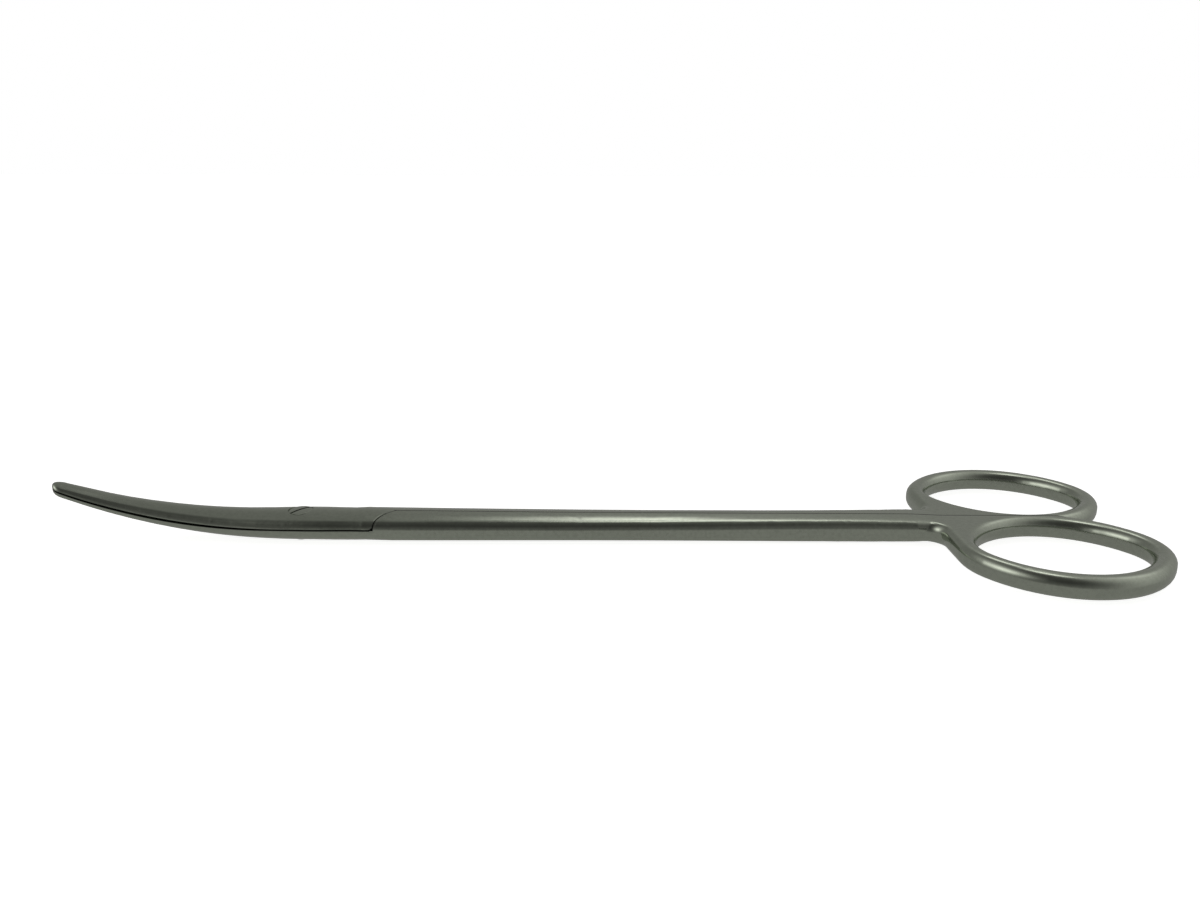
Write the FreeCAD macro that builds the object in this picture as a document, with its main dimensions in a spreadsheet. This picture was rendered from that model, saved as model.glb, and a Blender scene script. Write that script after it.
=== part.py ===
"""Curved dissecting scissors: two forged halves crossed in a lap joint on one slotted screw.

The pivot axis is Z, and the part lies on the plane z = 0 with the blades pointing to -X,
curving up, and the finger rings at +X. Each half has its own side: the upper half's shank
and ring are at +Y, the lower half's at -Y, and each half's blade crosses over the other's.
"""
import FreeCAD, Part
import math
import os
import Sketcher

V = FreeCAD.Vector
UPPER = 1
LOWER = -1

DIMENSIONS = [
    ("tip_reach", 40.6, "pivot axis to blade tip"),
    ("ring_reach", 138.8, "pivot axis to the far end of the rings"),
    ("mid_height", 2.3, "resting plane to the middle plane of the rings"),
    ("seam_height", 2.75, "resting plane to the flat lap faces at the pivot"),
    ("land_depth", 0.04, "how much the underside is ground flat to lie on"),
    ("heel_x", 11.0, "pivot axis to the end of the blade's rounded section"),
    ("joint_x", 15.5, "pivot axis to the start of the shanks"),
    ("joint_half_width", 4.0, "half width of the closed pair at the joint"),
    ("joint_top", 4.96, "top of the joint above the resting plane"),
    ("shank_top", 4.8, "top of the shanks where they leave the joint"),
    ("waist_half_width", 3.15, "half width of the closed pair at the shanks' waist"),
    ("waist_top", 4.42, "top of the shanks at their waist"),
    ("neck_half_width", 3.6, "half width of the closed pair at the neck"),
    ("neck_top", 4.35, "top of the shanks at the neck"),
    ("neck_bottom", 0.3, "underside of the shanks at the neck"),
    ("neck_lead", 1.2, "straight stretch of neck before it bends out"),
    ("neck_run", 9.0, "length over which the neck sinks into the web"),
    ("neck_sink", 0.2, "how far the neck ends below the top of the web"),
    ("edge_share", 0.31, "radius of the rounded outer edges, per thickness"),
    ("edge_limit", 0.8, "largest radius of the rounded outer edges, per half width"),
    ("blade_crown_ratio", 1.7, "radius of the blades' crowned top, per half width"),
    ("blade_keel_ratio", 1.4, "radius of the blades' crowned underside, per half width"),
    ("shank_crown_ratio", 2.0, "radius of the shanks' crowned top, per half width"),
    ("shank_keel_ratio", 1.8, "radius of the shanks' crowned underside, per half width"),
    ("neck_crown_ratio", 6.0, "radius of the nearly flat top and underside at the neck, per half width"),
    ("blade_tip_half_width", 1.65, "half width of the blades where the nose begins"),
    ("tip_above", 1.0, "upper blade above the seam where the nose begins"),
    ("tip_below", 1.4, "lower blade below the seam where the nose begins"),
    ("nose_length", 1.9, "length of the rounded blade tip"),
    ("nose_angle", 80.0, "angle through which the nose is drawn in, in degrees"),
    ("curve_start", 5.0, "distance from the pivot at which the blades begin to curve up"),
    ("curve_radius", 105.0, "radius of the blades' upward curve"),
    ("lap_gap", 0.12, "running gap between the lap faces and at the tip"),
    ("blade_bow", 0.18, "how far the blades stand apart halfway to the tip"),
    ("side_gap", 0.08, "gap between the two shanks and rings when closed"),
    ("shoulder_inner", 16.2, "pivot axis to the joint's shoulder at the midline"),
    ("shoulder_outer", 12.4, "pivot axis to the joint's shoulder at the outer side"),
    ("shoulder_radius", 9.0, "plan radius of the shoulder"),
    ("shoulder_gap", 0.2, "clearance between a shoulder and the other half's heel"),
    ("heel_bevel", 0.45, "bevel along the heel, next to the lap face"),
    ("ring_long", 14.8, "long half axis of the ring's centre line"),
    ("ring_short", 12.0, "short half axis of the ring's centre line"),
    ("ring_end_radius", 8.4, "radius of the centre line at the ends of the long axis"),
    ("ring_tilt", 1.0, "angle of the long axis towards the midline"),
    ("ring_y", 12.0, "midline to the ring's centre"),
    ("wire_half_width", 1.62, "half width of the ring's wire, seen from above"),
    ("wire_half_height", 1.83, "half height of the ring's wire"),
    ("wire_round", 1.5, "rounding of the wire's edges"),
    ("neck_bend", 2.4, "radius of the bend from shank to ring, on the outside"),
    ("head_radius", 1.95, "radius of the screw's head"),
    ("head_depth", 1.1, "height of the screw's head at its rim"),
    ("head_dome", 0.16, "rise of the screw's domed top"),
    ("journal_radius", 1.45, "radius of the screw in the upper half"),
    ("thread_radius", 1.25, "radius of the screw in the lower half"),
    ("running_gap", 0.05, "radial clearance of the upper half on the screw"),
    ("thread_gap", 0.02, "radial clearance of the threaded end"),
    ("slot_width", 0.4, "width of the screwdriver slot"),
    ("slot_depth", 0.6, "depth of the screwdriver slot"),
    ("slot_angle", 50.0, "angle of the slot from X when the screw is tight"),
    ("spare", 1.0, "how far cutting outlines run past the metal"),
    ("far_away", 60.0, "half size of cutting outlines that clear the whole part"),
]

# How many steps each loft has and which one of the shanks is the waist, the powers by which the tip's
# crown falls and the neck flattens, and the distance in mm within which two faces count as touching.
NOSE_STEPS = 4
BLADE_STEPS = 7
SHANK_STEPS = 4
WAIST_STEP = 3
CROWN_FALL = 1.5
NECK_FLATTENING = 6
TOUCHING = 0.01

# The ring's centre line is an oval of four tangent arcs, two small at its ends and two large at its sides.
END_SHIFT = "(<ring_long> - <ring_end_radius>)"
SIDE_SPAN = f"({END_SHIFT} ^ 2 + <ring_short> ^ 2 - <ring_end_radius> ^ 2)"
SIDE_RADIUS = f"({SIDE_SPAN} / (2 * (<ring_short> - <ring_end_radius>)))"
SIDE_SHIFT = f"({SIDE_RADIUS} - <ring_short>)"
TILT_COS = "cos(<ring_tilt> * 1 deg)"
TILT_SIN = "sin(<ring_tilt> * 1 deg)"
RING_X = f"(<ring_reach> - <wire_half_width> - <ring_end_radius> - {END_SHIFT} * {TILT_COS})"
RING_NEAR_X = f"({RING_X} - {END_SHIFT} * {TILT_COS} - <ring_end_radius> - <wire_half_width>)"
NECK_X = f"({RING_NEAR_X} - <neck_bend> - <neck_lead>)"
HEAD_SEAT = "(<joint_top> - <head_dome> - <head_depth>)"


def make_sheet(doc):
    """The driving dimensions, one row each: words, value and alias."""
    sheet = doc.addObject("Spreadsheet::Sheet", "Sheet")
    for row, (alias, value, words) in enumerate(DIMENSIONS, start=1):
        sheet.set(f"A{row}", words)
        sheet.set(f"B{row}", str(value))
        sheet.setAlias(f"B{row}", alias)
    doc.recompute()


def dims(text):
    """Write the aliases in an expression with the sheet's name in front."""
    for alias, _, _ in DIMENSIONS:
        text = text.replace(f"<{alias}>", f"Sheet.{alias}")
    return text


def number(owner, text):
    """The present value of an expression."""
    return float(owner.evalExpression(dims(text)))


def origin_plane(body, role):
    """A plane or axis of the body's own origin."""
    return next(item for item in body.Origin.OriginFeatures if item.Role == role)


def new_sketch(body, name, role, offset="0"):
    """A sketch parallel to an origin plane of its own body, shifted along the plane's normal."""
    sketch = body.newObject("Sketcher::SketchObject", name)
    sketch.AttachmentSupport = [(origin_plane(body, role), "")]
    sketch.MapMode = "FlatFace"
    sketch.setExpression(".AttachmentOffset.Base.z", dims(offset))
    return sketch


def bind(sketch, constraint, text):
    """Add a dimensional constraint whose value follows an expression."""
    index = sketch.addConstraint(constraint)
    sketch.setExpression(f"Constraints[{index}]", dims(text))


def round_arc(start, middle, finish):
    """Circular arc through three places in the sketch plane, always stored anticlockwise."""
    centre = Part.Arc(start, middle, finish).toShape().Curve.Center
    if (middle - start).cross(finish - start).z < 0:
        start, finish = finish, start
    first = math.atan2(start.y - centre.y, start.x - centre.x)
    last = math.atan2(finish.y - centre.y, finish.x - centre.x)
    circle = Part.Circle(centre, V(0, 0, 1), (start - centre).Length)
    return Part.ArcOfCircle(circle, first, last if last > first else last + 2 * math.pi)


def end_at(sketch, geometry, place):
    """Which end of a curve, 1 or 2, lies at a place: an arc may be stored either way round."""
    curve = sketch.Geometry[geometry]
    return 1 if (curve.StartPoint - place).Length < (curve.EndPoint - place).Length else 2


def pin_point(sketch, geometry, end, across, along):
    """Hold one end of a curve at a place given by two expressions."""
    bind(sketch, Sketcher.Constraint("DistanceX", -1, 1, geometry, end, number(sketch, across)), across)
    bind(sketch, Sketcher.Constraint("DistanceY", -1, 1, geometry, end, number(sketch, along)), along)


def closed_outline(sketch, corners, arcs=()):
    """Edges through corners given by expressions; arcs maps an edge to its radius and bulge side."""
    places = [V(number(sketch, across), number(sketch, along), 0) for across, along in corners]
    arcs = dict(arcs)
    following = [(index + 1) % len(places) for index in range(len(places))]
    for index, start in enumerate(places):
        finish = places[following[index]]
        if index not in arcs:
            sketch.addGeometry(Part.LineSegment(start, finish))
            continue
        radius, side = arcs[index]
        size = number(sketch, radius)
        half = (finish - start) * 0.5
        across = V(-half.y, half.x, 0).normalize() * side
        sagitta = size - math.sqrt(size ** 2 - half.Length ** 2)
        sketch.addGeometry(round_arc(start, start + half + across * sagitta, finish))
        bind(sketch, Sketcher.Constraint("Radius", index, size), radius)
    for index, (across, along) in enumerate(corners):
        behind = end_at(sketch, index, places[following[index]])
        ahead = end_at(sketch, following[index], places[following[index]])
        sketch.addConstraint(Sketcher.Constraint("Coincident", index, behind, following[index], ahead))
        pin_point(sketch, index, end_at(sketch, index, places[index]), across, along)


def rise(reach):
    """Height of the seam above the lap faces at a distance ahead of the pivot."""
    ahead = f"max(0; {reach} - <curve_start>)"
    return f"(<curve_radius> - sqrt(<curve_radius> ^ 2 - {ahead} ^ 2))"


def crowned_section(body, name, station, half_width, heights, ratios):
    """Outline across the closed pair: crowned top and underside, upright sides, rounded edges."""
    (top, bottom), (crown_ratio, keel_ratio) = heights, ratios
    sketch = new_sketch(body, name, "YZ_Plane", station)
    edge = f"min(<edge_share> * (({top}) - ({bottom})); <edge_limit> * ({half_width}))"
    crown = f"({crown_ratio}) * ({half_width})"
    keel = f"({keel_ratio}) * ({half_width})"
    wide, high, low = (number(sketch, text) for text in (half_width, top, bottom))
    edge_size, crown_size, keel_size = (number(sketch, text) for text in (edge, crown, keel))
    inset = wide - edge_size
    crown_centre = V(0, high - crown_size, 0)
    keel_centre = V(0, low + keel_size, 0)
    right_up = V(inset, crown_centre.y + math.sqrt((crown_size - edge_size) ** 2 - inset ** 2), 0)
    right_low = V(inset, keel_centre.y - math.sqrt((keel_size - edge_size) ** 2 - inset ** 2), 0)
    top_right = crown_centre + (right_up - crown_centre).normalize() * crown_size
    low_right = keel_centre + (right_low - keel_centre).normalize() * keel_size
    side_up = right_up + V(edge_size, 0, 0)
    side_low = right_low + V(edge_size, 0, 0)

    def mirrored(place):
        return V(-place.x, place.y, 0)

    def rounded_edge(centre, start, middle_way, finish):
        return round_arc(start, centre + middle_way.normalize() * edge_size, finish)

    curves = [
        round_arc(top_right, V(0, high, 0), mirrored(top_right)),
        rounded_edge(mirrored(right_up), mirrored(top_right), V(-1, 1, 0), mirrored(side_up)),
        Part.LineSegment(mirrored(side_up), mirrored(side_low)),
        rounded_edge(mirrored(right_low), mirrored(side_low), V(-1, -1, 0), mirrored(low_right)),
        round_arc(mirrored(low_right), V(0, low, 0), low_right),
        rounded_edge(right_low, low_right, V(1, -1, 0), side_low),
        Part.LineSegment(side_low, side_up),
        rounded_edge(right_up, side_up, V(1, 1, 0), top_right),
    ]
    sketch.addGeometry(curves)
    ends = [mirrored(top_right), mirrored(side_up), mirrored(side_low), mirrored(low_right),
            low_right, side_low, side_up, top_right]
    for index, place in enumerate(ends):
        following = (index + 1) % len(ends)
        here, there = end_at(sketch, index, place), end_at(sketch, following, place)
        sketch.addConstraint(Sketcher.Constraint("Tangent", index, here, following, there))
    for index, size, text in ((0, crown_size, crown), (4, keel_size, keel)):
        sketch.addConstraint(Sketcher.Constraint("PointOnObject", index, 3, -2))
        bind(sketch, Sketcher.Constraint("Radius", index, size), text)
    for index in (1, 3, 5, 7):
        bind(sketch, Sketcher.Constraint("Radius", index, edge_size), edge)
    bind(sketch, Sketcher.Constraint("DistanceY", -1, 1, 0, 3, crown_centre.y), f"({top}) - {crown}")
    bind(sketch, Sketcher.Constraint("DistanceY", -1, 1, 4, 3, keel_centre.y), f"({bottom}) + {keel}")
    bind(sketch, Sketcher.Constraint("DistanceX", -1, 1, 6, 1, wide), half_width)
    bind(sketch, Sketcher.Constraint("DistanceX", 2, 1, -1, 1, wide), half_width)
    return sketch


def loft(body, name, sections):
    """A loft through the given sections, added to the body."""
    feature = body.newObject("PartDesign::AdditiveLoft", name)
    feature.Profile = sections[0]
    feature.Sections = sections[1:]


def nose_section(body, index):
    """Section within the rounded nose, drawn in along a quarter ellipse in plan and elevation."""
    angle = f"({index} * <nose_angle> / {NOSE_STEPS} * 1 deg)"
    reach = f"(<tip_reach> - <nose_length> * (1 - sin{angle}))"
    seam = f"(<seam_height> + {rise(reach)})"
    drawn_in = f"cos{angle}"
    half_width = f"<blade_tip_half_width> * {drawn_in}"
    heights = (f"{seam} + <tip_above> * sqrt({drawn_in})", f"{seam} - <tip_below> * sqrt({drawn_in})")
    ratios = ("<blade_crown_ratio>", "<blade_keel_ratio>")
    return crowned_section(body, f"nose_{index}", f"-{reach}", half_width, heights, ratios)


def blade_section(body, index):
    """One of the evenly spaced sections from the nose, over the pivot, to the heel."""
    length = "(<tip_reach> - <nose_length>)"
    station = f"({index} / {BLADE_STEPS} * ({length} + <heel_x>) - {length})"
    share = f"max(0; -{station} / {length})"
    half_width = f"(<joint_half_width> + {share} * (<blade_tip_half_width> - <joint_half_width>))"
    root_above = "(<joint_top> - <seam_height>)"
    root_below = "(<seam_height> + <land_depth>)"
    above = f"({root_above} + {share} ^ {CROWN_FALL} * (<tip_above> - {root_above}))"
    below = f"({root_below} + {share} * (<tip_below> - {root_below}))"
    seam = f"(<seam_height> + {rise('-' + station)})"
    heights = (f"{seam} + {above}", f"{seam} - {below}")
    ratios = ("<blade_crown_ratio>", "<blade_keel_ratio>")
    return crowned_section(body, f"blade_{index}", station, half_width, heights, ratios)


def shank_section(body, index):
    """An evenly spaced section of the shanks: they taper to a waist, then flare and flatten at the neck."""
    share = f"({index} / {SHANK_STEPS})"
    station = f"(<joint_x> + {share} * ({NECK_X} - <joint_x>))"
    if index <= WAIST_STEP:
        left = f"(1 - {index} / {WAIST_STEP})"
        half_width = f"(<waist_half_width> + {left} * (<joint_half_width> - <waist_half_width>))"
        heights = (f"(<waist_top> + {left} ^ 2 * (<shank_top> - <waist_top>))", "-<land_depth>")
    else:
        half_width = "<neck_half_width>"
        heights = ("<neck_top>", "<neck_bottom>")
    flat = f"{share} ^ {NECK_FLATTENING}"
    crown = f"<shank_crown_ratio> + {flat} * (<neck_crown_ratio> - <shank_crown_ratio>)"
    keel = f"<shank_keel_ratio> + {flat} * (<neck_crown_ratio> - <shank_keel_ratio>)"
    return crowned_section(body, f"shank_{index}", station, half_width, heights, (crown, keel))


def closed_form(body):
    """The outer form of the closed pair, from the blade tips to the necks."""
    blades = [blade_section(body, index) for index in range(BLADE_STEPS + 1)]
    shanks = [shank_section(body, index) for index in range(SHANK_STEPS + 1)]
    loft(body, "shank_form", shanks)
    loft(body, "heel_form", [blades[-1], shanks[0]])
    loft(body, "blade_form", blades)
    loft(body, "nose_form", [nose_section(body, index) for index in range(NOSE_STEPS + 1)])
    sunk = "(<wire_half_height> - <neck_sink>)"
    heights = (f"<mid_height> + {sunk}", f"<mid_height> - {sunk}")
    ratios = ("<neck_crown_ratio>", "<neck_crown_ratio>")
    inside = crowned_section(body, "neck_end", f"{NECK_X} + <neck_run>", "<neck_half_width>", heights, ratios)
    loft(body, "neck_form", [shanks[-1], inside])


def pocket(body, name, sketch, upward):
    """Cut from a horizontal sketch right through, upward or downward."""
    feature = body.newObject("PartDesign::Pocket", name)
    feature.Profile = sketch
    feature.Type = 1
    feature.Reversed = upward


def oval_corner(side, grown, end, flank):
    """Where two arcs of the ring's oval, grown by an offset, meet at one end and flank of it."""
    span = f"({SIDE_RADIUS} - <ring_end_radius>)"
    size = f"(<ring_end_radius> + {grown})"
    along = f"({end} * ({END_SHIFT} + {size} * {END_SHIFT} / {span}))"
    across = f"({flank} * {size} * {SIDE_SHIFT} / {span})"
    return (f"({RING_X} + {along} * {TILT_COS} + {across} * {TILT_SIN})",
            f"({side} * (<ring_y> - {along} * {TILT_SIN} + {across} * {TILT_COS}))")


def ring_blank(body, side):
    """Flat blank of the ring, its web to the midline and the bend of the neck, with the finger hole."""
    outline = new_sketch(body, "blank_outline", "XY_Plane", "<mid_height>")
    grown = "<wire_half_width>"
    past_middle = f"{side} * (<ring_y> + {SIDE_SHIFT} * {TILT_COS} - {SIDE_RADIUS} - {grown})"
    end_radius = f"(<ring_end_radius> + {grown})"
    side_radius = f"({SIDE_RADIUS} + {grown})"
    corners = [(NECK_X, f"{side} * <neck_half_width>"),
               (f"({RING_NEAR_X} - <neck_bend>)", f"{side} * <neck_half_width>"),
               (RING_NEAR_X, f"{side} * (<neck_half_width> + <neck_bend>)"),
               (RING_NEAR_X, f"{side} * (<ring_y> + {END_SHIFT} * {TILT_SIN})"),
               oval_corner(side, grown, -1, 1),
               oval_corner(side, grown, 1, 1),
               oval_corner(side, grown, 1, -1),
               (f"({RING_X} + {SIDE_SHIFT} * {TILT_SIN})", past_middle),
               (NECK_X, past_middle)]
    arcs = {1: ("<neck_bend>", -side), 3: (end_radius, side), 4: (side_radius, side), 5: (end_radius, side),
            6: (side_radius, side)}
    closed_outline(outline, corners, arcs)
    blank = body.newObject("PartDesign::Pad", "ring_blank")
    blank.Profile = outline
    blank.Midplane = True
    blank.setExpression("Length", dims("2 * <wire_half_height>"))
    hole = new_sketch(body, "finger_hole_outline", "XY_Plane", "-<far_away>")
    shrunk = "(-<wire_half_width>)"
    corners = [oval_corner(side, shrunk, end, flank) for end, flank in ((1, -1), (1, 1), (-1, 1), (-1, -1))]
    hole_end = ("(<ring_end_radius> - <wire_half_width>)", -side)
    hole_side = (f"({SIDE_RADIUS} - <wire_half_width>)", -side)
    closed_outline(hole, corners, {0: hole_end, 1: hole_side, 2: hole_end, 3: hole_side})
    pocket(body, "finger_hole", hole, upward=True)


def round_rim(body):
    """Round all the blank's level edges into an oval wire, except at the end that joins the shank."""
    blank = body.Tip
    body.Document.recompute()
    joined_x = number(body, NECK_X) + TOUCHING
    names = []
    for index, edge in enumerate(blank.Shape.Edges, start=1):
        if edge.BoundBox.ZLength < TOUCHING and edge.BoundBox.XMax > joined_x:
            names.append(f"Edge{index}")
    fillet = body.newObject("PartDesign::Fillet", "wire_rounding")
    fillet.Base = (blank, names)
    fillet.setExpression("Radius", dims("<wire_round>"))


def grind_land(body):
    """The flat strip along the underside that the pair lies on."""
    sketch = new_sketch(body, "land_outline", "XY_Plane")
    front, back, out = "-(<tip_reach> + <spare>)", "(<ring_reach> + <spare>)", "<far_away>"
    closed_outline(sketch, [(front, f"-{out}"), (back, f"-{out}"), (back, out), (front, out)])
    pocket(body, "ground_land", sketch, upward=False)


def shoulder_corners(side, gap):
    """The shoulder's two ends in plan, on the given side, moved ahead by a gap."""
    outer = (f"<shoulder_outer> - {gap}", f"{side} * (<joint_half_width> + <spare>)")
    inner = (f"<shoulder_inner> - {gap}", f"{side} * <side_gap> / 2")
    return outer, inner


def lap_face(side):
    """Height of one half's flat lap face."""
    return "<seam_height>" if side == UPPER else "(<seam_height> - <lap_gap>)"


def cut_blade_face(body, side):
    """Hollow out the other half's share ahead of the pivot, as a groove about the pivot axis."""
    sketch = new_sketch(body, "blade_face_outline", "XZ_Plane")
    floor = f"(<mid_height> - {side} * <far_away> / 2)"
    face = lap_face(side)
    reach = "(<tip_reach> + <spare>)"
    tip = f"{face} + {rise(reach)}"
    chord = f"sqrt(({reach} - <curve_start>) ^ 2 + {rise(reach)} ^ 2)"
    bow = "0" if side == UPPER else "<blade_bow>"
    sagitta = f"({chord} ^ 2 / (8 * <curve_radius>) + {bow})"
    radius = f"({chord} ^ 2 / (8 * {sagitta}) + {sagitta} / 2)"
    corners = [("0", floor), ("0", face), ("-<curve_start>", face), (f"-{reach}", tip), (f"-{reach}", floor)]
    closed_outline(sketch, corners, {2: (radius, 1)})
    groove = body.newObject("PartDesign::Groove", "blade_face")
    groove.Profile = sketch
    groove.ReferenceAxis = (origin_plane(body, "Z_Axis"), [""])
    groove.Angle = 180
    groove.Midplane = True


def cut_lap_seat(body, side):
    """Take away the other half's share beside the pivot, up to this half's own shoulder."""
    sketch = new_sketch(body, "lap_seat_outline", "XY_Plane", lap_face(side))
    outer, inner = shoulder_corners(side, "0")
    corners = [outer, inner, ("<shoulder_inner>", f"-{side} * <far_away>"), ("0", f"-{side} * <far_away>"),
               ("0", f"{side} * (<joint_half_width> + <spare>)")]
    closed_outline(sketch, corners, {0: ("<shoulder_radius>", -side)})
    pocket(body, "lap_seat", sketch, upward=side == LOWER)


def cut_other_side(body, side):
    """Take away the other half's shank and trim the ring flat along the midline."""
    sketch = new_sketch(body, "midline_outline", "XY_Plane", "-<far_away>")
    outer, inner = shoulder_corners(-side, "<shoulder_gap>")
    own = f"{side} * <side_gap> / 2"
    far_y = f"-{side} * <far_away>"
    back = "(<ring_reach> + <spare>)"
    corners = [outer, inner, ("<shoulder_inner>", own), (back, own), (back, far_y),
               ("<shoulder_outer> - <shoulder_gap>", far_y)]
    closed_outline(sketch, corners, {0: ("<shoulder_radius>", side)})
    pocket(body, "midline_face", sketch, upward=True)


def bevel_heel(body, side):
    """Break the heel's edge along the lap face, so that it clears the other half's shoulder root."""
    cut = body.Tip
    body.Document.recompute()
    face = number(body, lap_face(side))
    back = number(body, "<shoulder_inner>")
    front = number(body, "<shoulder_outer> - <shoulder_gap> - <spare>")
    names = []
    for index, edge in enumerate(cut.Shape.Edges, start=1):
        box = edge.BoundBox
        on_face = abs(box.ZMin - face) < TOUCHING and abs(box.ZMax - face) < TOUCHING
        at_heel = front < box.XMin and box.XMax < back and side * box.Center.y < -TOUCHING
        if on_face and at_heel and box.XLength > TOUCHING:
            names.append(f"Edge{index}")
    bevel = body.newObject("PartDesign::Chamfer", "heel_bevel")
    bevel.Base = (cut, names)
    bevel.setExpression("Size", dims("<heel_bevel>"))


def round_pocket(body, name, radius, height):
    """A round vertical bore from a height upward."""
    sketch = new_sketch(body, f"{name}_outline", "XY_Plane", height)
    sketch.addGeometry(Part.Circle(V(0, 0, 0), V(0, 0, 1), number(sketch, radius)))
    sketch.addConstraint(Sketcher.Constraint("Coincident", 0, 3, -1, 1))
    bind(sketch, Sketcher.Constraint("Radius", 0, number(sketch, radius)), radius)
    pocket(body, name, sketch, upward=True)


def forged_half(doc, name, side):
    """One forging: blade, half of the lap joint, shank and finger ring."""
    body = doc.addObject("PartDesign::Body", name)
    body.Label = name
    ring_blank(body, side)
    round_rim(body)
    closed_form(body)
    grind_land(body)
    cut_blade_face(body, side)
    cut_lap_seat(body, side)
    cut_other_side(body, side)
    bevel_heel(body, side)
    if side == UPPER:
        round_pocket(body, "journal_bore", "<journal_radius> + <running_gap>", "-<far_away>")
        round_pocket(body, "head_recess", "<head_radius> + <running_gap>", HEAD_SEAT)
    else:
        round_pocket(body, "threaded_bore", "<thread_radius> + <thread_gap>", "-<far_away>")
    return body


def pivot_screw(doc):
    """Shoulder screw: domed slotted head, smooth journal and a thinner threaded end, flush below."""
    body = doc.addObject("PartDesign::Body", "pivot_screw")
    body.Label = "pivot_screw"
    outline = new_sketch(body, "turned_outline", "XZ_Plane")
    rim = "<joint_top> - <head_dome>"
    seat = f"{HEAD_SEAT} + <lap_gap> / 2"
    shoulder = "<seam_height>"
    dome = "(<head_radius> ^ 2 / (2 * <head_dome>) + <head_dome> / 2)"
    corners = [("0", "0"), ("<thread_radius>", "0"), ("<thread_radius>", shoulder),
               ("<journal_radius>", shoulder), ("<journal_radius>", seat),
               ("<head_radius>", seat), ("<head_radius>", rim), ("0", "<joint_top>")]
    closed_outline(outline, corners, {6: (dome, -1)})
    turned = body.newObject("PartDesign::Revolution", "turned")
    turned.Profile = outline
    turned.ReferenceAxis = (origin_plane(body, "Z_Axis"), [""])
    turned.Angle = 360
    slot = new_sketch(body, "slot_outline", "XY_Plane", "<joint_top> - <slot_depth>")
    slot.AttachmentOffset = FreeCAD.Placement(V(0, 0, 0), FreeCAD.Rotation(V(0, 0, 1), 1))
    slot.setExpression(".AttachmentOffset.Rotation.Angle", dims("<slot_angle> * 1 deg"))
    half, reach = "<slot_width> / 2", "2 * <head_radius>"
    closed_outline(slot, [(f"-{reach}", f"-{half}"), (reach, f"-{half}"), (reach, half), (f"-{reach}", half)])
    pocket(body, "slot", slot, upward=True)
    return body


def check(doc, parts):
    """Stop if any object failed or any piece is not one sound solid."""
    for item in doc.Objects:
        if "Invalid" in item.State or "Error" in item.State:
            raise RuntimeError(f"{item.Name} failed: {item.State}")
    for part in parts:
        if part.Shape.isNull() or not part.Shape.isValid() or len(part.Shape.Solids) != 1:
            raise RuntimeError(f"{part.Label} is not one sound solid")


def main():
    """Build the three pieces, check them and write one STEP file each."""
    doc = FreeCAD.newDocument("dissecting_scissors")
    make_sheet(doc)
    parts = [forged_half(doc, "upper_half", UPPER), forged_half(doc, "lower_half", LOWER), pivot_screw(doc)]
    doc.recompute()
    check(doc, parts)
    os.makedirs("parts", exist_ok=True)
    for part in parts:
        part.Shape.exportStep(f"parts/{part.Label}.step")
        print(part.Label, "volume", round(part.Shape.Volume, 1), "mm3")


main()
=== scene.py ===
"""Looks of the dissecting scissors: satin steel in soft studio light, seen low from the side."""
import math

import bpy
from mathutils import Matrix, Vector

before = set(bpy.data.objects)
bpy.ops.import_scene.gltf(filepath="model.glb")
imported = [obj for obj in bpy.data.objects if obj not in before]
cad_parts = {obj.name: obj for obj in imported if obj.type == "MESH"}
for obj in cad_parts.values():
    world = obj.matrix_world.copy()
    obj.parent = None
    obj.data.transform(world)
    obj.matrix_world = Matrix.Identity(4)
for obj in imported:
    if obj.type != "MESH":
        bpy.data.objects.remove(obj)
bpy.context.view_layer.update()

scene = bpy.context.scene

# The steel. Each noise has its scale, detail and roughness, and the tones are stops on a ramp.
STEEL_COLOR = (0.505, 0.55, 0.465)
HALF_ROUGHNESS = 0.15
SCREW_ROUGHNESS = 0.19
FINE_PITS = (5200.0, 2.0, 0.6)
COARSE_PITS = (1500.0, 3.0, 0.6)
CLOUDS = (90.0, 3.0, 0.5)
CLOUD_TONES = ((0.3, 0.97), (0.7, 1.02))
PIT_TONES = ((0.30, 0.92), (0.55, 1.0), (0.80, 1.04))
CLOUD_ROUGHNESS = 0.02
PIT_STRENGTH = 0.09
PIT_DEPTH = 0.00001

# The gaps as built, in metres: the seam between the blades and the gap between the shanks. Then how far
# their painted shade reaches, how deep it is, and how steep a face counts as a side or as a top.
SEAM_HEIGHT = 0.00275
CURVE_START = 0.005
CURVE_RADIUS = 0.105
CURVE_LENGTH = 0.0366
LAP_GAP = 0.00012
BLADE_BOW = 0.00018
HEEL_END = 0.0122
SEAM_SHADE = 0.00006
SEAM_BLUR = 0.00005
SEAM_DARKNESS = 0.95
SIDE_GAP = 0.00008
MIDDLE_SHADE = 0.00004
SHANK_START = 0.0155
SIDE_LIMIT = 0.85
TOP_LIMIT = 0.5

# Faint creases are polished out in the shading over this many metres. Below this cosine an edge stays sharp.
CREASE_SOFTNESS = 0.0005
CREASE_SAMPLES = 8
CREASE_LIMIT = 0.985

# Where the lengthwise steps on top of the joint, shanks and neck are polished out in the shading.
LEVEL_START = 0.005
LEVEL_FULL = 0.010
LEVEL_END = 0.1075
LEVEL_HALF_WIDTH = 0.0039
FLAT_LIMIT = 0.95

# Camera: the viewpoint fitted to the outlines in the photograph.
CAMERA_PLACE = Vector((0.04926, -0.14640, 0.06057))
CAMERA_YAW = 0.005
CAMERA_PITCH = 0.299
CAMERA_ROLL = 0.004
FOCAL_PIXELS = 933.1
IMAGE_WIDTH = 1200
SENSOR_WIDTH = 36.0
NEAREST = 0.005
FARTHEST = 50.0

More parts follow.
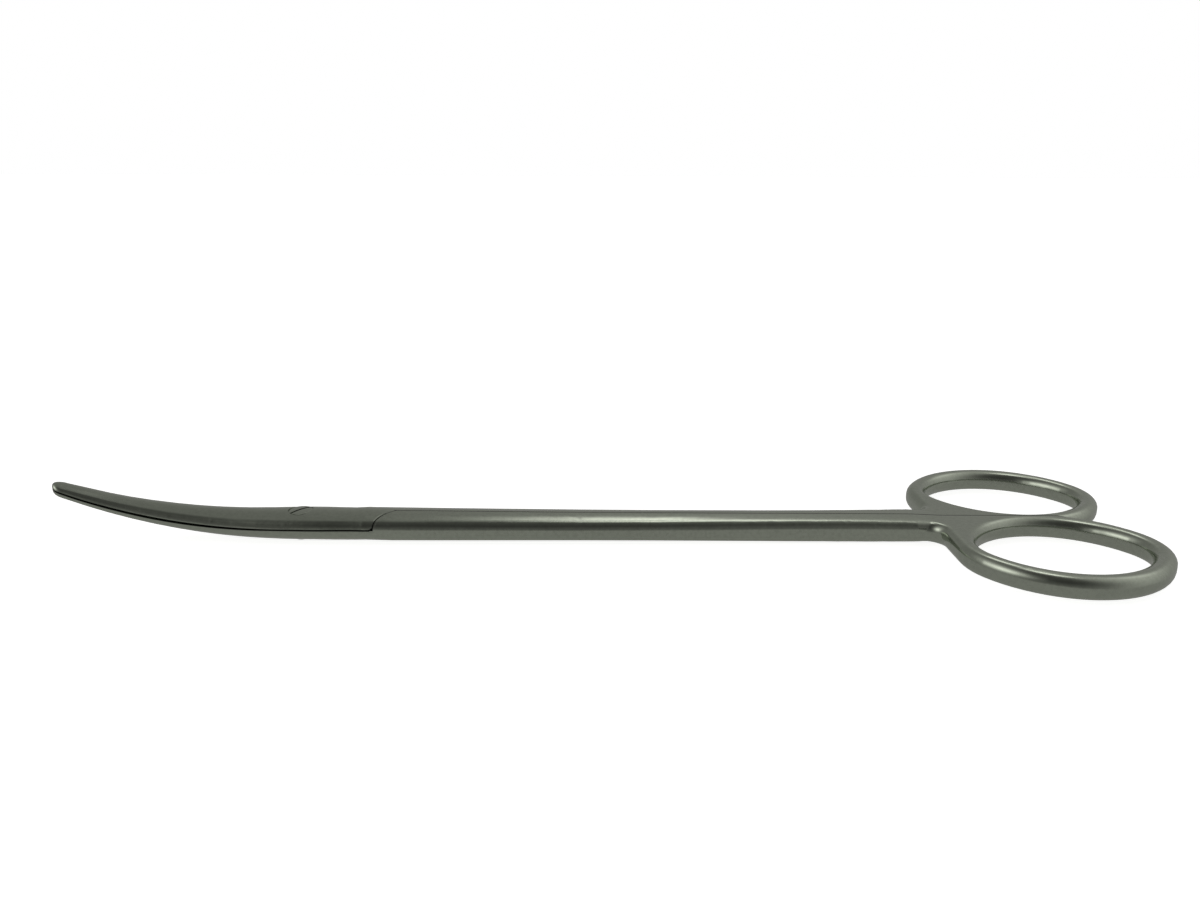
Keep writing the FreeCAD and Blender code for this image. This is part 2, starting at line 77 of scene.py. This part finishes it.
# Light, by direction: the azimuth is 0 behind the camera and 90 to the right, both angles in degrees.
# Each soft light has its azimuth, elevation, tightness and brightness.
FLOOR_COLOR = (0.93, 0.93, 0.93, 1.0)
FLOOR_ROUGHNESS = 0.9
FLOOR_GLOW = 0.85
FLOOR_HALF = 4.0
FLOOR_DROP = 0.00005
LIGHT_TINT = (1.0, 0.985, 0.96)
TABLE_GLOW = 0.28
ROOM_GLOW = 0.39
HORIZON = -0.22
HORIZON_BLUR = 0.10
SOFT_LIGHTS = (
    (-66.0, 29.0, 16.0, 5.3),
    (-95.0, 48.0, 14.0, 0.7),
    (78.0, 55.0, 5.4, 1.10),
    (60.0, 12.0, 5.0, 0.30),
    (119.0, 44.0, 45.0, 0.75),
    (148.0, 78.0, 110.0, 6.6),
    (173.0, 57.0, 110.0, 3.4),
    (171.0, 40.0, 41.0, 0.20),
)
DARK_CORNER = (-15.0, 52.0, 0.70, 0.945)
DARKEST = 0.9


def node_tree(owner):
    """The emptied node tree of a material or world."""
    owner.use_nodes = True
    tree = owner.node_tree
    tree.nodes.clear()
    return tree


def add(tree, kind, **values):
    """A new node with the given settings."""
    node = tree.nodes.new(kind)
    for name, value in values.items():
        setattr(node, name, value)
    return node


def math_node(tree, operation, first, second=None, third=None, clamp=False):
    """One sum of up to three numbers or sockets."""
    node = add(tree, "ShaderNodeMath", operation=operation, use_clamp=clamp)
    for index, value in enumerate((first, second, third)):
        if value is None:
            continue
        if isinstance(value, (int, float)):
            node.inputs[index].default_value = value
        else:
            tree.links.new(value, node.inputs[index])
    return node.outputs[0]


def product(tree, *factors):
    """All the factors multiplied together."""
    total = factors[0]
    for factor in factors[1:]:
        total = math_node(tree, "MULTIPLY", total, factor)
    return total


def split_vector(tree, vector):
    """The X, Y and Z of a vector."""
    node = add(tree, "ShaderNodeSeparateXYZ")
    tree.links.new(vector, node.inputs[0])
    return tuple(node.outputs)


def ramp(tree, factor, stops):
    """A value or colour that follows a factor through the given stops."""
    node = add(tree, "ShaderNodeValToRGB")
    elements = node.color_ramp.elements
    while len(elements) > 1:
        elements.remove(elements[-1])
    for index, (place, value) in enumerate(stops):
        element = elements[0] if index == 0 else elements.new(place)
        element.position = place
        color = value if isinstance(value, tuple) else (value, value, value)
        element.color = (*color, 1.0)
    tree.links.new(factor, node.inputs[0])
    return node.outputs[0]


def noise(tree, vector, scale, detail, roughness):
    """Soft random spots in space."""
    node = add(tree, "ShaderNodeTexNoise")
    node.inputs["Scale"].default_value = scale
    node.inputs["Detail"].default_value = detail
    node.inputs["Roughness"].default_value = roughness
    tree.links.new(vector, node.inputs["Vector"])
    return node.outputs["Fac"]


def smooth_step(tree, value, start, end):
    """Softly from zero at the start to one at the end."""
    node = add(tree, "ShaderNodeMapRange", interpolation_type="SMOOTHSTEP")
    tree.links.new(value, node.inputs["Value"])
    node.inputs["From Min"].default_value = start
    node.inputs["From Max"].default_value = end
    return node.outputs["Result"]


def tinted(tree, color, factor):
    """A colour multiplied by another colour or a value."""
    node = add(tree, "ShaderNodeMix", data_type="RGBA", blend_type="MULTIPLY")
    node.inputs["Factor"].default_value = 1.0
    tree.links.new(color, node.inputs["A"])
    tree.links.new(factor, node.inputs["B"])
    return node.outputs["Result"]


def within(tree, value, limit):
    """One up to a limit and softly zero just past it."""
    return math_node(tree, "SUBTRACT", 1.0, smooth_step(tree, value, limit, limit + SEAM_BLUR))


def seam_shadow(tree, place):
    """Painted shade beside the gaps: on the blades' outer sides along the seam, and on top between the
    shanks.
    """
    along, across, height = split_vector(tree, place)
    squares = math_node(tree, "ADD", product(tree, along, along), product(tree, across, across))
    reach = math_node(tree, "SUBTRACT", math_node(tree, "SQRT", squares), CURVE_START)
    in_front = math_node(tree, "LESS_THAN", along, 0.0)
    ahead = product(tree, math_node(tree, "MAXIMUM", reach, 0.0), in_front)
    level = math_node(tree, "SUBTRACT", CURVE_RADIUS ** 2, product(tree, ahead, ahead))
    seam = math_node(tree, "SUBTRACT", SEAM_HEIGHT + CURVE_RADIUS, math_node(tree, "SQRT", level))
    share = math_node(tree, "DIVIDE", ahead, CURVE_LENGTH, clamp=True)
    bow = product(tree, share, math_node(tree, "SUBTRACT", 1.0, share), 4 * BLADE_BOW)
    above = within(tree, math_node(tree, "SUBTRACT", height, seam), SEAM_SHADE)
    depth = math_node(tree, "SUBTRACT", math_node(tree, "SUBTRACT", seam, height), bow)
    below = within(tree, depth, LAP_GAP + SEAM_SHADE)
    normal = add(tree, "ShaderNodeNewGeometry").outputs["Normal"]
    upward = math_node(tree, "ABSOLUTE", split_vector(tree, normal)[2])
    sides = math_node(tree, "LESS_THAN", upward, SIDE_LIMIT)
    blades = math_node(tree, "LESS_THAN", along, HEEL_END)
    seam_painted_shade = product(tree, above, below, sides, blades)
    middle = within(tree, math_node(tree, "ABSOLUTE", across), SIDE_GAP / 2 + MIDDLE_SHADE)
    shanks = math_node(tree, "GREATER_THAN", along, SHANK_START)
    tops = math_node(tree, "GREATER_THAN", upward, TOP_LIMIT)
    middle_painted_shade = product(tree, middle, shanks, tops)
    shade = math_node(tree, "MAXIMUM", seam_painted_shade, middle_painted_shade)
    return math_node(tree, "MULTIPLY_ADD", shade, -SEAM_DARKNESS, 1.0)


def polished_normal(tree, place):
    """The surface direction with faint creases and small steps blended away and real edges kept."""
    bevel = add(tree, "ShaderNodeBevel", samples=CREASE_SAMPLES)
    bevel.inputs["Radius"].default_value = CREASE_SOFTNESS
    soft = bevel.outputs["Normal"]
    true = add(tree, "ShaderNodeNewGeometry").outputs["Normal"]
    turn = add(tree, "ShaderNodeVectorMath", operation="DOT_PRODUCT")
    tree.links.new(soft, turn.inputs[0])
    tree.links.new(true, turn.inputs[1])
    faint = math_node(tree, "GREATER_THAN", turn.outputs["Value"], CREASE_LIMIT)
    choice = add(tree, "ShaderNodeMix", data_type="VECTOR")
    tree.links.new(faint, choice.inputs["Factor"])
    tree.links.new(true, choice.inputs["A"])
    tree.links.new(soft, choice.inputs["B"])
    return levelled_normal(tree, place, choice.outputs["Result"])


def turned_normal(tree, normal, start, end):
    """A normal carried from one space to another."""
    node = add(tree, "ShaderNodeVectorTransform", vector_type="NORMAL", convert_from=start, convert_to=end)
    tree.links.new(normal, node.inputs[0])
    return node.outputs[0]


def levelled_normal(tree, place, normal):
    """Polish away the small lengthwise steps on top of the joint, the shanks and the neck."""
    lengthwise, sideways, upward = split_vector(tree, turned_normal(tree, normal, "WORLD", "OBJECT"))
    along, across, _ = split_vector(tree, place)
    start = smooth_step(tree, along, LEVEL_START, LEVEL_FULL)
    slim = math_node(tree, "LESS_THAN", math_node(tree, "ABSOLUTE", across), LEVEL_HALF_WIDTH)
    before = math_node(tree, "LESS_THAN", along, LEVEL_END)
    flat = math_node(tree, "GREATER_THAN", math_node(tree, "ABSOLUTE", upward), FLAT_LIMIT)
    kept = math_node(tree, "SUBTRACT", 1.0, product(tree, slim, before, flat, start))
    level = add(tree, "ShaderNodeCombineXYZ")
    for value, socket in zip((product(tree, lengthwise, kept), sideways, upward), level.inputs):
        tree.links.new(value, socket)
    return turned_normal(tree, level.outputs[0], "OBJECT", "WORLD")


def steel(name, roughness):
    """Satin stainless steel: fine pits, a faint cloudiness, soft creases and painted shade along the gaps.
    """
    material = bpy.data.materials.new(name)
    tree = node_tree(material)
    place = add(tree, "ShaderNodeTexCoord").outputs["Object"]
    fine = noise(tree, place, *FINE_PITS)
    coarse = noise(tree, place, *COARSE_PITS)
    cloud = noise(tree, place, *CLOUDS)
    tones = [(spot, tuple(part * tone for part in STEEL_COLOR)) for spot, tone in CLOUD_TONES]
    color = tinted(tree, ramp(tree, cloud, tones), ramp(tree, coarse, PIT_TONES))
    shader = add(tree, "ShaderNodeBsdfPrincipled")
    shader.inputs["Metallic"].default_value = 1.0
    # Painted shade darkens the base colour along the blades' seam and between the shanks.
    tree.links.new(tinted(tree, color, seam_shadow(tree, place)), shader.inputs["Base Color"])
    rough = math_node(tree, "MULTIPLY_ADD", cloud, 2 * CLOUD_ROUGHNESS, roughness - CLOUD_ROUGHNESS)
    tree.links.new(rough, shader.inputs["Roughness"])
    bump = add(tree, "ShaderNodeBump")
    bump.inputs["Strength"].default_value = PIT_STRENGTH
    bump.inputs["Distance"].default_value = PIT_DEPTH
    tree.links.new(math_node(tree, "ADD", fine, coarse), bump.inputs["Height"])
    tree.links.new(polished_normal(tree, place), bump.inputs["Normal"])
    tree.links.new(bump.outputs["Normal"], shader.inputs["Normal"])
    output = add(tree, "ShaderNodeOutputMaterial")
    tree.links.new(shader.outputs[0], output.inputs["Surface"])
    return material


def dress(node_name, material):
    """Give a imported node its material, with smooth shading kept as packed."""
    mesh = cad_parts[node_name].data
    mesh.materials.clear()
    mesh.materials.append(material)


def make_floor():
    """A pale floor just under the part, which glows a little and isn't mirrored in the steel."""
    mesh = bpy.data.meshes.new("floor")
    half = FLOOR_HALF
    corners = [(-half, -half, 0), (half, -half, 0), (half, half, 0), (-half, half, 0)]
    mesh.from_pydata(corners, [], [(0, 1, 2, 3)])
    floor = bpy.data.objects.new("floor", mesh)
    floor.location.z = -FLOOR_DROP
    scene.collection.objects.link(floor)
    material = bpy.data.materials.new("pale_floor")
    tree = node_tree(material)
    shader = add(tree, "ShaderNodeBsdfPrincipled")
    shader.inputs["Base Color"].default_value = FLOOR_COLOR
    shader.inputs["Roughness"].default_value = FLOOR_ROUGHNESS
    shader.inputs["Emission Color"].default_value = (1, 1, 1, 1)
    shader.inputs["Emission Strength"].default_value = FLOOR_GLOW
    output = add(tree, "ShaderNodeOutputMaterial")
    tree.links.new(shader.outputs[0], output.inputs["Surface"])
    mesh.materials.append(material)
    floor.visible_glossy = False


def glow(tree, place, azimuth, elevation, tightness, brightness):
    """A soft patch on the sky: brightest in its own direction and fading around it."""
    around, high = math.radians(azimuth), math.radians(elevation)
    aim = add(tree, "ShaderNodeVectorMath", operation="DOT_PRODUCT")
    tree.links.new(place, aim.inputs[0])
    level = math.cos(high)
    aim.inputs[1].default_value = (math.sin(around) * level, -math.cos(around) * level, math.sin(high))
    fall = math_node(tree, "MULTIPLY_ADD", aim.outputs["Value"], tightness, -tightness)
    return math_node(tree, "MULTIPLY", math_node(tree, "EXPONENT", fall), brightness)


def make_world():
    """A studio seen by its direction: soft lights, a grey table and a dark corner behind the camera."""
    world = bpy.data.worlds.new("studio")
    scene.world = world
    tree = node_tree(world)
    place = add(tree, "ShaderNodeTexCoord").outputs["Generated"]
    upward = split_vector(tree, place)[2]
    above = smooth_step(tree, upward, HORIZON - HORIZON_BLUR, HORIZON + HORIZON_BLUR)
    room = ROOM_GLOW
    for light in SOFT_LIGHTS:
        room = math_node(tree, "ADD", glow(tree, place, *light), room)
    dark = math_node(tree, "MINIMUM", glow(tree, place, *DARK_CORNER), DARKEST)
    lit = product(tree, room, math_node(tree, "SUBTRACT", 1.0, dark))
    change = math_node(tree, "SUBTRACT", lit, TABLE_GLOW)
    light = math_node(tree, "MULTIPLY_ADD", change, above, TABLE_GLOW)
    studio = add(tree, "ShaderNodeBackground")
    studio.inputs["Color"].default_value = (*LIGHT_TINT, 1.0)
    tree.links.new(light, studio.inputs["Strength"])
    white = add(tree, "ShaderNodeBackground")
    white.inputs["Color"].default_value = (1, 1, 1, 1)
    white.inputs["Strength"].default_value = 1.0
    rays = add(tree, "ShaderNodeLightPath")
    choose = add(tree, "ShaderNodeMixShader")
    tree.links.new(rays.outputs["Is Camera Ray"], choose.inputs[0])
    tree.links.new(studio.outputs[0], choose.inputs[1])
    tree.links.new(white.outputs[0], choose.inputs[2])
    output = add(tree, "ShaderNodeOutputWorld")
    tree.links.new(choose.outputs[0], output.inputs["Surface"])


def make_camera():
    """The photograph's viewpoint."""
    pitch, yaw, roll = CAMERA_PITCH, CAMERA_YAW, CAMERA_ROLL
    ahead = Vector((math.sin(yaw) * math.cos(pitch), math.cos(yaw) * math.cos(pitch), -math.sin(pitch)))
    level = Vector((math.cos(yaw), -math.sin(yaw), 0))
    above = level.cross(ahead)
    right = math.cos(roll) * level + math.sin(roll) * above
    up = -math.sin(roll) * level + math.cos(roll) * above
    data = bpy.data.cameras.new("camera")
    data.sensor_width = SENSOR_WIDTH
    data.lens = FOCAL_PIXELS * SENSOR_WIDTH / IMAGE_WIDTH
    data.clip_start = NEAREST
    data.clip_end = FARTHEST
    camera = bpy.data.objects.new("camera", data)
    camera.matrix_world = Matrix((
        (right.x, up.x, -ahead.x, CAMERA_PLACE.x),
        (right.y, up.y, -ahead.y, CAMERA_PLACE.y),
        (right.z, up.z, -ahead.z, CAMERA_PLACE.z),
        (0, 0, 0, 1),
    ))
    scene.collection.objects.link(camera)
    scene.camera = camera


satin = steel("satin_steel", HALF_ROUGHNESS)
screw = steel("screw_steel", SCREW_ROUGHNESS)
dress("upper_half", satin)
dress("lower_half", satin)
dress("pivot_screw", screw)
make_floor()
make_world()
make_camera()
scene.view_settings.view_transform = "Standard"
